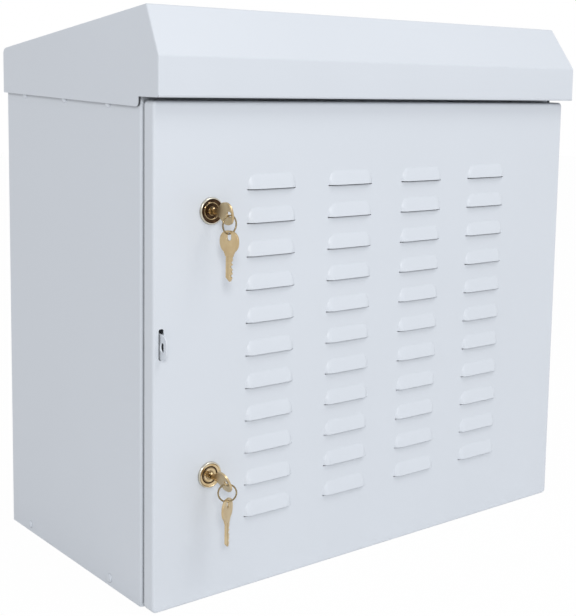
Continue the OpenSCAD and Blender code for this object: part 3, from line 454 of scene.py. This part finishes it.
def plated(name, light, deep, cloud_size, smooth, rough, recess=0):
    """A smooth metal, cloudy in tone and gloss at one size, and darkened by painted shade in recesses of the size
    given.
    """
    material = bpy.data.materials.new(name)
    material.use_nodes = True
    tree = material.node_tree
    shader = tree.nodes["Principled BSDF"]
    shader.inputs["Metallic"].default_value = 1.0
    place = add(tree, "ShaderNodeTexCoord").outputs["Object"]
    cloud = add(tree, "ShaderNodeTexNoise", {"Vector": place, "Scale": 1 / cloud_size, "Detail": 4.0})
    tone = add(tree, "ShaderNodeValToRGB", {"Fac": cloud.outputs["Fac"]})
    for stop, colour, position in zip(tone.color_ramp.elements, (deep, light), CLOUD_SPREAD):
        stop.color = linear(colour)
        stop.position = position
    metal = tone.outputs[0]
    if recess:
        # Painted shade: the metal darkens towards dark brown where ambient occlusion finds a recess
        shelter = add(tree, "ShaderNodeAmbientOcclusion", {"Distance": recess}, samples=AO_RAYS)
        bright = add(tree, "ShaderNodeMapRange", {
            "Value": shelter.outputs["AO"], "From Min": RECESS_OPEN[0], "From Max": RECESS_OPEN[1],
            "To Min": RECESS_BRIGHT[0], "To Max": RECESS_BRIGHT[1]})
        metal = add(tree, "ShaderNodeMix", {0: bright.outputs[0], 6: linear(RECESS_SHADE), 7: metal},
                    data_type="RGBA").outputs[2]
    tree.links.new(metal, shader.inputs["Base Color"])
    gloss = add(tree, "ShaderNodeMapRange", {"Value": cloud.outputs["Fac"], "To Min": smooth,
                                             "To Max": rough})
    tree.links.new(gloss.outputs[0], shader.inputs["Roughness"])
    return material


zinc = plated("zinc_plated_steel", ZINC, ZINC_DEEP, ZINC_SPANGLE, smooth=0.25, rough=0.45)
for name in ("roof_angles", "roof_screws", "roof_nuts", "rail_left", "rail_right", "rail_brackets",
             "rail_bolts", "rail_nuts", "cable_plate_screws", "hinge_arm_lower", "hinge_arm_upper"):
    eased(finish(node_mesh(name), name + "_plated", zinc, "cabinet", "zinc", name))

# Rubber
# The door seal is a strip of foamed rubber, and the cable entries have moulded rubber grommets.
# Both are matt black with a fine grain.
RUBBER = "#1d1e20"
RUBBER_ROUGH = 0.8
GRAIN = 0.8 * MM
GRAIN_DEEP = 0.1 * MM
GRAIN_STRENGTH = 0.3
RUBBER_EDGE = 0.6 * MM


def rubber_skin():
    """Black rubber: matt, with a fine grain."""
    material = bpy.data.materials.new("black_rubber")
    material.use_nodes = True
    tree = material.node_tree
    shader = tree.nodes["Principled BSDF"]
    shader.inputs["Base Color"].default_value = linear(RUBBER)
    shader.inputs["Roughness"].default_value = RUBBER_ROUGH
    place = add(tree, "ShaderNodeTexCoord").outputs["Object"]
    grain = add(tree, "ShaderNodeTexNoise", {"Vector": place, "Scale": 1 / GRAIN, "Detail": 2.0})
    bump = add(tree, "ShaderNodeBump", {"Height": grain.outputs["Fac"], "Strength": GRAIN_STRENGTH,
                                        "Distance": GRAIN_DEEP})
    tree.links.new(bump.outputs[0], shader.inputs["Normal"])
    return material


rubber = rubber_skin()
for name in ("door_gasket", "cable_grommets"):
    eased(finish(node_mesh(name), name + "_soft", rubber, "cabinet", "rubber", name), RUBBER_EDGE, 3)

# Earth terminal
# A brass stud and nut on the bottom panel take the earth wire. The brass is drawn and turned,
# and has a clean yellow sheen.
BRASS = "#dcc79e"
BRASS_DEEP = "#cdb48a"
BRASS_CLOUD = 5 * MM
EARTH_EDGE = 0.3 * MM
brass = plated("drawn_brass", BRASS, BRASS_DEEP, BRASS_CLOUD, smooth=0.22, rough=0.38)
for name in ("earth_stud", "earth_nut"):
    eased(finish(node_mesh(name), name + "_brass", brass, "cabinet", "brass", name), EARTH_EDGE)

# Door
# A pan folded from steel sheet, with four columns of louvres pressed out of its face before folding.
# Each louvre is a hood, flat in its middle and round at its steep ends, open along its lower edge.
# The coat is the body's.
LOUVRE_COLS = 4
LOUVRE_ROWS = 11
COL_PITCH = 107 * MM
FIELD_X = 2 * MM
ROW_PITCH = 35 * MM
LOUVRE_LOW = 79.5 * MM
LOUVRE_L = 61.5 * MM
LOUVRE_H = 15.2 * MM
LOUVRE_OUT = 4.2 * MM
LOUVRE_GAP = 1.2 * MM
# Length of a louvre's end as a share of its height, how round the end is and how flat the middle is
END_SHARE = 0.56
ROUND_SHARE = 0.45
FLAT_SHARE = 0.6
PRESS_SOFT = 0.35 * MM
TILE_BELOW = 9 * MM
TILE_ABOVE = ROW_PITCH - TILE_BELOW
DOOR_FOLD = 3 * MM
DOOR_REAR_FOLD = 4 * MM
DOOR_CORNER = 5.2 * MM
LEAST_CORNER = 0.4 * MM
DOOR_LIP = 26 * MM
SEW = 0.005 * MM
TINY = 1e-6
SAME = 1e-7
hood_r = (LOUVRE_H ** 2 + LOUVRE_OUT ** 2) / (2 * LOUVRE_OUT)
hood_deep = hood_r - LOUVRE_OUT
half_straight = LOUVRE_L / 2 - END_SHARE * LOUVRE_H
half_tile = COL_PITCH / 2
rings = [LOUVRE_H * f for f in (0, 0.18, 0.35, 0.53, 0.68, 0.79, 0.88, 0.94, 0.98, 1.02, 1.07)]


def hood_height(d, end):
    """Height of the hood at a distance d from its middle line: a flat slope, but round towards its ends."""
    if d >= rings[-1]:
        return 0.0
    rise = math.sqrt(hood_r ** 2 - d ** 2) - hood_deep
    rise += FLAT_SHARE * (1 - end) * (LOUVRE_OUT * (1 - d / LOUVRE_H) - rise)
    if d < LOUVRE_H:
        rise += ROUND_SHARE * end * (LOUVRE_OUT * math.sqrt(1 - (d / LOUVRE_H) ** 2) - rise)
    return (rise + math.sqrt(rise ** 2 + PRESS_SOFT ** 2)) / 2


corner_angle = math.atan2(END_SHARE * TILE_ABOVE, half_tile - half_straight)
turns = sorted([math.radians(9 * i) for i in range(11)] + [corner_angle])
columns = [((-half_straight, 0), (-END_SHARE * math.cos(a), math.sin(a))) for a in turns]
columns += [((half_straight * x, 0), (0, 1)) for x in (-0.6, -0.2, 0.2, 0.6)]
columns += [((half_straight, 0), (END_SHARE * math.cos(a), math.sin(a))) for a in reversed(turns)]


def border_point(base, way):
    """Where a line from the hood's middle line meets the edge of its tile."""
    reach = [(half_tile - abs(base[0])) / abs(way[0])] if abs(way[0]) > TINY else []
    reach += [TILE_ABOVE / way[1]] if way[1] > TINY else []
    d = min(reach)
    return (base[0] + way[0] * d, base[1] + way[1] * d)


edge_points = [border_point(base, way) for base, way in columns]
top_xs = [x for x, z in edge_points if abs(z - TILE_ABOVE) < SAME]
side_zs = sorted(z for x, z in edge_points if abs(x + half_tile) < SAME)
form = bmesh.new()
grid = []
for (base, way), edge in zip(columns, edge_points):
    end = (way[0] / END_SHARE) ** 2
    row = [form.verts.new((base[0] + way[0] * d, -hood_height(d, end), base[1] + way[1] * d))
           for d in rings]
    grid.append(row + [form.verts.new((edge[0], 0, edge[1]))])
for one, two in zip(grid, grid[1:]):
    for i in range(len(rings)):
        form.faces.new((one[i], one[i + 1], two[i + 1], two[i]))
sill_right = [(half_straight + END_SHARE * d, 0 if d == rings[-1] else -LOUVRE_GAP) for d in rings]
sill_right += [(half_tile, 0)]
sill_left = [(-x, z) for x, z in reversed(sill_right)]
sill_middle = [(base[0], -LOUVRE_GAP) for base, way in columns if way[0] == 0]
strip = [form.verts.new((x, 0, z)) for x, z in sill_left + sill_middle + sill_right]
strip += [form.verts.new((x, 0, -TILE_BELOW)) for x in reversed(top_xs)]
form.faces.new(strip)
bmesh.ops.remove_doubles(form, verts=form.verts, dist=TINY)
bmesh.ops.dissolve_degenerate(form, dist=SAME, edges=form.edges)
bmesh.ops.recalc_face_normals(form, faces=form.faces)
tile_mesh = bpy.data.meshes.new("louvre")
form.to_mesh(tile_mesh)
form.free()
tile = bpy.data.objects.new("louvre", tile_mesh)
scene.collection.objects.link(tile)


def door_loop(inset, y):
    """Points of the door's outline at an inset and a depth, with round corners."""
    r = max(DOOR_CORNER - inset, LEAST_CORNER)
    x, low, high = door_high.x - inset - r, door_low.z + inset + r, door_high.z - inset - r
    loop = []
    for cx, cz, start in ((x, high, 0), (-x, high, 90), (-x, low, 180), (x, low, 270)):
        arc = [math.radians(start + 18 * i) for i in range(6)]
        loop += [(cx + r * math.cos(a), y, cz + r * math.sin(a)) for a in arc]
    return loop


face_y = joints["lock_lower_turn"].y
rear_y = door_high.y
quarter = [math.radians(18 * i) for i in range(6)]
outline = [(DOOR_FOLD * (1 - math.sin(a)), face_y + DOOR_FOLD * (1 - math.cos(a))) for a in quarter]
outline += [(DOOR_REAR_FOLD * (1 - math.cos(a)), rear_y - DOOR_REAR_FOLD * (1 - math.sin(a)))
            for a in quarter]
outline += [(DOOR_LIP, rear_y)]
form = bmesh.new()
loops = [[form.verts.new(p) for p in door_loop(inset, y)] for inset, y in outline]
for one, two in zip(loops, loops[1:]):
    for i in range(len(one)):
        j = (i + 1) % len(one)
        form.faces.new((one[i], one[j], two[j], two[i]))
field_x = LOUVRE_COLS * half_tile
field_low = LOUVRE_LOW - TILE_BELOW
field_high = field_low + LOUVRE_ROWS * ROW_PITCH
middles = [(i - (LOUVRE_COLS - 1) / 2) * COL_PITCH for i in range(LOUVRE_COLS)]
along = [middle + x for middle in middles for x in top_xs[:-1]]
rise = [LOUVRE_LOW + j * ROW_PITCH + z for j in range(LOUVRE_ROWS) for z in [-TILE_BELOW] + side_zs[:-1]]
border = [(x, field_low) for x in along]
border += [(field_x, z) for z in rise]
border += [(-x, field_high) for x in along]
border += [(-field_x, z) for z in [field_high] + rise[:0:-1]]
inner = [form.verts.new((FIELD_X + x, face_y, z)) for x, z in border]
edges = [form.edges.new((inner[i], inner[(i + 1) % len(inner)])) for i in range(len(inner))]
edges += [form.edges.get((loops[0][i], loops[0][(i + 1) % len(loops[0])])) for i in range(len(loops[0]))]
bmesh.ops.triangle_fill(form, edges=edges, use_beauty=True, normal=(0, -1, 0))
bmesh.ops.recalc_face_normals(form, faces=form.faces)
flat_mesh = bpy.data.meshes.new("door_flat")
form.to_mesh(flat_mesh)
form.free()

tree, sizes = new_rule("louvre_field", {
    "Louvre": "NodeSocketObject", "Columns": "NodeSocketInt", "Rows": "NodeSocketInt",
    "Width": "NodeSocketFloat", "Height": "NodeSocketFloat", "Place": "NodeSocketVector"})
lattice = add(tree, "GeometryNodeMeshGrid", {"Size X": sizes["Width"], "Size Y": sizes["Height"],
                                             "Vertices X": sizes["Columns"], "Vertices Y": sizes["Rows"]})
upright = add(tree, "GeometryNodeTransform", {
    "Geometry": lattice.outputs["Mesh"], "Translation": sizes["Place"], "Rotation": (math.pi / 2, 0, 0)})
pressed = add(tree, "GeometryNodeObjectInfo", {"Object": sizes["Louvre"]})
copies = add(tree, "GeometryNodeInstanceOnPoints", {"Points": upright.outputs[0],
                                                   "Instance": pressed.outputs["Geometry"]})
solid = add(tree, "GeometryNodeRealizeInstances", {"Geometry": copies.outputs[0]})
whole = add(tree, "GeometryNodeJoinGeometry", {"Geometry": solid.outputs[0]})
tree.links.new(sizes["Geometry"], whole.inputs["Geometry"])
sewn = add(tree, "GeometryNodeMergeByDistance", {"Geometry": whole.outputs[0], "Distance": SEW})
dressed = add(tree, "GeometryNodeSetMaterial", {"Geometry": sewn.outputs[0], "Material": coat})
add(tree, "NodeGroupOutput", {"Geometry": dressed.outputs[0]})
door_mesh = grown(tree, flat_mesh, {
    "Louvre": tile, "Columns": LOUVRE_COLS, "Rows": LOUVRE_ROWS,
    "Width": (LOUVRE_COLS - 1) * COL_PITCH, "Height": (LOUVRE_ROWS - 1) * ROW_PITCH,
    "Place": (FIELD_X, face_y, LOUVRE_LOW + (LOUVRE_ROWS - 1) * ROW_PITCH / 2)})
bpy.data.objects.remove(tile)
form = bmesh.new()
form.from_mesh(door_mesh)
bmesh.ops.recalc_face_normals(form, faces=form.faces)
front = [face for face in form.faces if abs(face.calc_center_median().y - face_y) < MM]
if sum(face.normal.y * face.calc_area() for face in front) > 0:
    bmesh.ops.reverse_faces(form, faces=form.faces)
form.to_mesh(door_mesh)
form.free()
door = finish(door_mesh, "louvred_door", coat, "door", "paint", "door_panel")
wall = door.modifiers.new("sheet", "SOLIDIFY")
wall.thickness = SHEET
wall.offset = -1

# Bores for the lock barrels, the slot for the padlock lug and notches in the rear lip for the hinge leaves
BARREL_R = 9.6 * MM
CUT_DEEP = 8 * MM
SLOT_SIDE = 1.4 * MM
SLOT_END = (0.7 * MM, 4.9 * MM)
SLOT_ROUND = 2 * MM
SLOT_DEEP = 60 * MM
LEAF_PLAY = 3 * MM
lug_low, lug_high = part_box("padlock_staple")
form = bmesh.new()
for name in ("lock_lower_turn", "lock_upper_turn"):
    place = Matrix.Translation(joints[name]) @ Matrix.Rotation(math.pi / 2, 4, "X")
    bmesh.ops.create_cone(form, cap_ends=True, segments=48, radius1=BARREL_R, radius2=BARREL_R,
                          depth=CUT_DEEP, matrix=place)
slot_size = (2 * (SHEET + SLOT_SIDE), SLOT_DEEP, lug_high.z - lug_low.z + sum(SLOT_END))
slot_place = (lug_low.x + SHEET, face_y, (lug_low.z + lug_high.z + SLOT_END[1] - SLOT_END[0]) / 2)
slot = bmesh.ops.create_cube(form, size=1, matrix=Matrix.LocRotScale(slot_place, None, slot_size))["verts"]
slot_edges = [edge for edge in form.edges
              if edge.verts[0] in slot and edge.calc_length() > SLOT_DEEP - SHEET]
bmesh.ops.bevel(form, geom=slot_edges, offset=SLOT_ROUND, segments=4, profile=0.5, affect="EDGES")
for level_name in ("lower", "upper"):
    leaf_low, leaf_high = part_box("hinge_leaf_" + level_name)
    notch_size = (DOOR_LIP - SHEET, CUT_DEEP, leaf_high.z - leaf_low.z + LEAF_PLAY)
    notch_place = (door_high.x - SHEET - notch_size[0] / 2, rear_y, (leaf_low.z + leaf_high.z) / 2)
    bmesh.ops.create_cube(form, size=1, matrix=Matrix.LocRotScale(notch_place, None, notch_size))
cut_mesh = bpy.data.meshes.new("door_cuts")
form.to_mesh(cut_mesh)
form.free()
cutter = bpy.data.objects.new("door_cuts", cut_mesh)
scene.collection.objects.link(cutter)
cuts = door.modifiers.new("cuts", "BOOLEAN")
cuts.operation = "DIFFERENCE"
cuts.solver = "EXACT"
cuts.object = cutter
view = bpy.context.evaluated_depsgraph_get()
door.data = bpy.data.meshes.new_from_object(door.evaluated_get(view), depsgraph=view)
door.modifiers.clear()
bpy.data.objects.remove(cutter)
eased(door)

# Hinges on the door
# Steel leaves with two ears and a headed pin through each, and the locks' hexagon nuts behind the door.
# All are zinc plated.
PLATED_EDGE = 0.2 * MM
for name in ("hinge_leaf_lower", "hinge_leaf_upper", "hinge_pin_lower", "hinge_pin_upper", "lock_nut_lower",
             "lock_nut_upper"):
    eased(finish(node_mesh(name), name + "_plated", zinc, "door", "zinc", name), PLATED_EDGE)

# Cam locks
# Die-cast housings with a nickel plated rim round a dish with a raised ring, a turned plug with a collar
# round its keyway, and a steel cam held by one screw. The locks are alike: the upper dish and plug are drawn
# dark brown as painted shade and dark reflection, with a painted highlight on the ring, the lower ones in pale
# polished brass with painted shade on the ring.
FLANGE_R = 13.75 * MM
FLANGE_H = 2.5 * MM
BEZEL = 1.2 * MM
DISH_R = 12.3 * MM
RING_R = (7.9 * MM, 9.2 * MM)
DISH_LINE = ((7.05, -1.15), (7.8, -1.1), (8.1, -1.8), (8.9, -1.8), (9.3, -1.0), (10.4, -1.1), (11.6, -1.5),
             (12.1, -2.3), (12.4, -2.5))
BORE_R = 7.05 * MM
THREAD_R = 9.5 * MM
THREAD_L = 25.2 * MM
COLLAR_R = 4.8 * MM
HOUSING_EDGE = 0.15 * MM
# Nickel plate is a warm white mirror with soft edges to what it reflects
nickel = plated("nickel_plate", "#d4cfc2", "#bdb7a8", 8 * MM, smooth=0.14, rough=0.26)
# The locks' brass drawn dark brown and glossy, as painted shade and dark reflection, with painted shade in its
# recesses
shaded_brass = plated("brass_in_painted_shade", "#4e3b2a", "#302318", 7 * MM, smooth=0.12, rough=0.22, recess=3 * MM)
# Polished brass is pale gold, with painted shade darkening its grooves
gilt = plated("polished_brass", "#dfcba8", "#c4ab80", 9 * MM, smooth=0.12, rough=0.22, recess=1.6 * MM)
# Brass worn by the key is brown gold with bright spots
# Brown gold brass with bright spots and painted shade in its recesses; on the upper ring it is a painted highlight
brown_brass = plated("brown_gold_brass", "#b59f7c", "#867252", 4 * MM, smooth=0.1, rough=0.2, recess=1.5 * MM)
# The upper dish and plug are the painted shade copy of the lower ones' brass; the upper ring carries a painted
# highlight, the lower ring painted shade
DISHES = {"lower": gilt, "upper": shaded_brass}
RINGS = {"lower": shaded_brass, "upper": brown_brass}


def lathe(profile, place, name, segments=72):
    """A mesh turned about an axis that points into the cabinet, from radius and depth pairs."""
    form = bmesh.new()
    rows = []
    for i in range(segments):
        a = 2 * math.pi * i / segments
        rows.append([form.verts.new((r * math.cos(a), y, r * math.sin(a))) for r, y in profile])
    for i, one in enumerate(rows):
        two = rows[(i + 1) % segments]
        for j in range(len(profile)):
            k = (j + 1) % len(profile)
            form.faces.new((one[j], one[k], two[k], two[j]))
    bmesh.ops.remove_doubles(form, verts=form.verts, dist=SAME)
    bmesh.ops.recalc_face_normals(form, faces=form.faces)
    bmesh.ops.translate(form, verts=form.verts, vec=place)
    mesh = bpy.data.meshes.new(name)
    form.to_mesh(mesh)
    form.free()
    return mesh


housing_line = [(r * MM, y * MM) for r, y in DISH_LINE]
housing_line += [(FLANGE_R - BEZEL * (1 - math.sin(a)), -FLANGE_H + BEZEL * (1 - math.cos(a)))
                 for a in quarter]
housing_line += [(FLANGE_R, 0), (THREAD_R, 0), (THREAD_R, THREAD_L), (BORE_R, THREAD_L)]
for level_name in ("lower", "upper"):
    lock = "lock_" + level_name
    axis = joints[lock + "_turn"]
    name = "lock_housing_" + level_name
    housing = lathe(housing_line, axis, name)
    piece = finish(housing, name + "_cast", nickel, "door", "nickel", name)
    housing.materials.append(DISHES[level_name])
    housing.materials.append(RINGS[level_name])
    for face in housing.polygons:
        centre = face.center - axis
        out = math.hypot(centre.x, centre.z)
        if out < DISH_R and centre.y < 0:
            face.material_index = 2 if RING_R[0] < out < RING_R[1] else 1
    eased(piece, HOUSING_EDGE)
    name = "lock_plug_" + level_name
    plug = node_mesh(name)
    piece = finish(plug, name + "_turned", DISHES[level_name], lock, "brass", name)
    plug.materials.append(brown_brass)
    for face in plug.polygons:
        corners = [plug.vertices[i].co - axis for i in face.vertices]
        if max(math.hypot(p.x, p.z) for p in corners) < COLLAR_R and face.center.y < axis.y:
            face.material_index = 1
    eased(piece, PLATED_EDGE)
    for name in ("lock_cam_" + level_name, "cam_screw_" + level_name):
        eased(finish(node_mesh(name), name + "_plated", zinc, lock, "zinc", name), PLATED_EDGE)

# Keys and rings
# Flat brass keys, stamped and milled, with an oval bow. One stands in each lock, and a spare hangs from it
# on a wire ring.
KEY_T = 2.1 * MM
KEY_EDGE = 0.3 * MM
BOW_L = 25 * MM
BOW_SIZE = (11.5 * MM, 11.8 * MM)
BOW_STEPS = 48
KEY_SLOT_R = 2.8 * MM
KEY_SLOT_L = 2.6 * MM
KEY_SLOT_TOP = 2 * MM
WIRE_MORE = 0.2 * MM
LOCK_TURNS = {"lower": 22, "upper": 8}
SPARE_TURNS = {"lower": 31, "upper": -72}
# Stamped brass is pale yellow with a satin face, and painted shade in its recesses
key_brass = plated("stamped_brass", "#d0bc96", "#c2ab84", 14 * MM, smooth=0.26, rough=0.36, recess=2 * MM)
# Bronze wire is duller and browner than the keys
wire = plated("bronze_wire", "#a0906f", "#7f6f54", 8 * MM, smooth=0.2, rough=0.32)


def key_mesh(node, along, across):
    """A key's mesh with an oval bow; along points from blade to bow, across lies in the key's face."""
    low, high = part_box(node)
    along, across = Vector(along), Vector(across)
    thick = along.cross(across)
    tip = Vector([max(first * a, last * a) * a for first, last, a in zip(low, high, along)])
    middle = (low + high) / 2
    foot = tip + middle - along * middle.dot(along) - along * BOW_L
    rounds = [2 * math.pi * i / BOW_STEPS for i in range(BOW_STEPS)]
    oval = [(BOW_SIZE[0] * math.cos(a), BOW_L - BOW_SIZE[1] * (1 - math.sin(a))) for a in rounds]
    hole = [(KEY_SLOT_R * math.cos(a),
             BOW_L - KEY_SLOT_TOP - KEY_SLOT_R * (1 - math.sin(a)) - (KEY_SLOT_L if a > math.pi else 0))
            for a in rounds]
    form = bmesh.new()
    rims = [[form.verts.new(foot + across * u + along * v - thick * KEY_T / 2) for u, v in line]
            for line in (oval, hole)]
    edges = [form.edges.new((rim[i], rim[(i + 1) % len(rim)])) for rim in rims for i in range(len(rim))]
    flat = bmesh.ops.triangle_fill(form, edges=edges, use_beauty=True, normal=thick)["geom"]
    flat = [item for item in flat if isinstance(item, bmesh.types.BMFace)]
    raised = bmesh.ops.extrude_face_region(form, geom=flat)["geom"]
    bmesh.ops.translate(form, verts=[item for item in raised if isinstance(item, bmesh.types.BMVert)],
                        vec=thick * KEY_T)
    bmesh.ops.recalc_face_normals(form, faces=form.faces)
    bmesh.ops.dissolve_limit(form, angle_limit=FLAT_ANGLE, verts=form.verts, edges=form.edges)
    form.from_mesh(node_mesh(node))
    mesh = bpy.data.meshes.new(node + "_flat")
    form.to_mesh(mesh)
    form.free()
    return mesh


for level_name in ("lower", "upper"):
    name = "lock_key_" + level_name
    turn = math.radians(LOCK_TURNS[level_name])
    lock_key = key_mesh(name, (0, -1, 0), (-math.sin(turn), 0, math.cos(turn)))
    eased(finish(lock_key, name + "_brass", key_brass, "lock_" + level_name, "brass", name), KEY_EDGE)
    name = "spare_key_" + level_name
    turn = math.radians(SPARE_TURNS[level_name])
    spare_key = key_mesh(name, (0, 0, 1), (math.cos(turn), math.sin(turn), 0))
    eased(finish(spare_key, name + "_brass", key_brass, "spare_" + level_name, "brass", name), KEY_EDGE)
    name = "key_ring_" + level_name
    ring = node_mesh(name)
    for vertex, normal in zip(ring.vertices, [item.vector.copy() for item in ring.vertex_normals]):
        vertex.co += normal * WIRE_MORE
    eased(finish(ring, name + "_wire", wire, "ring_" + level_name, "nickel", name))
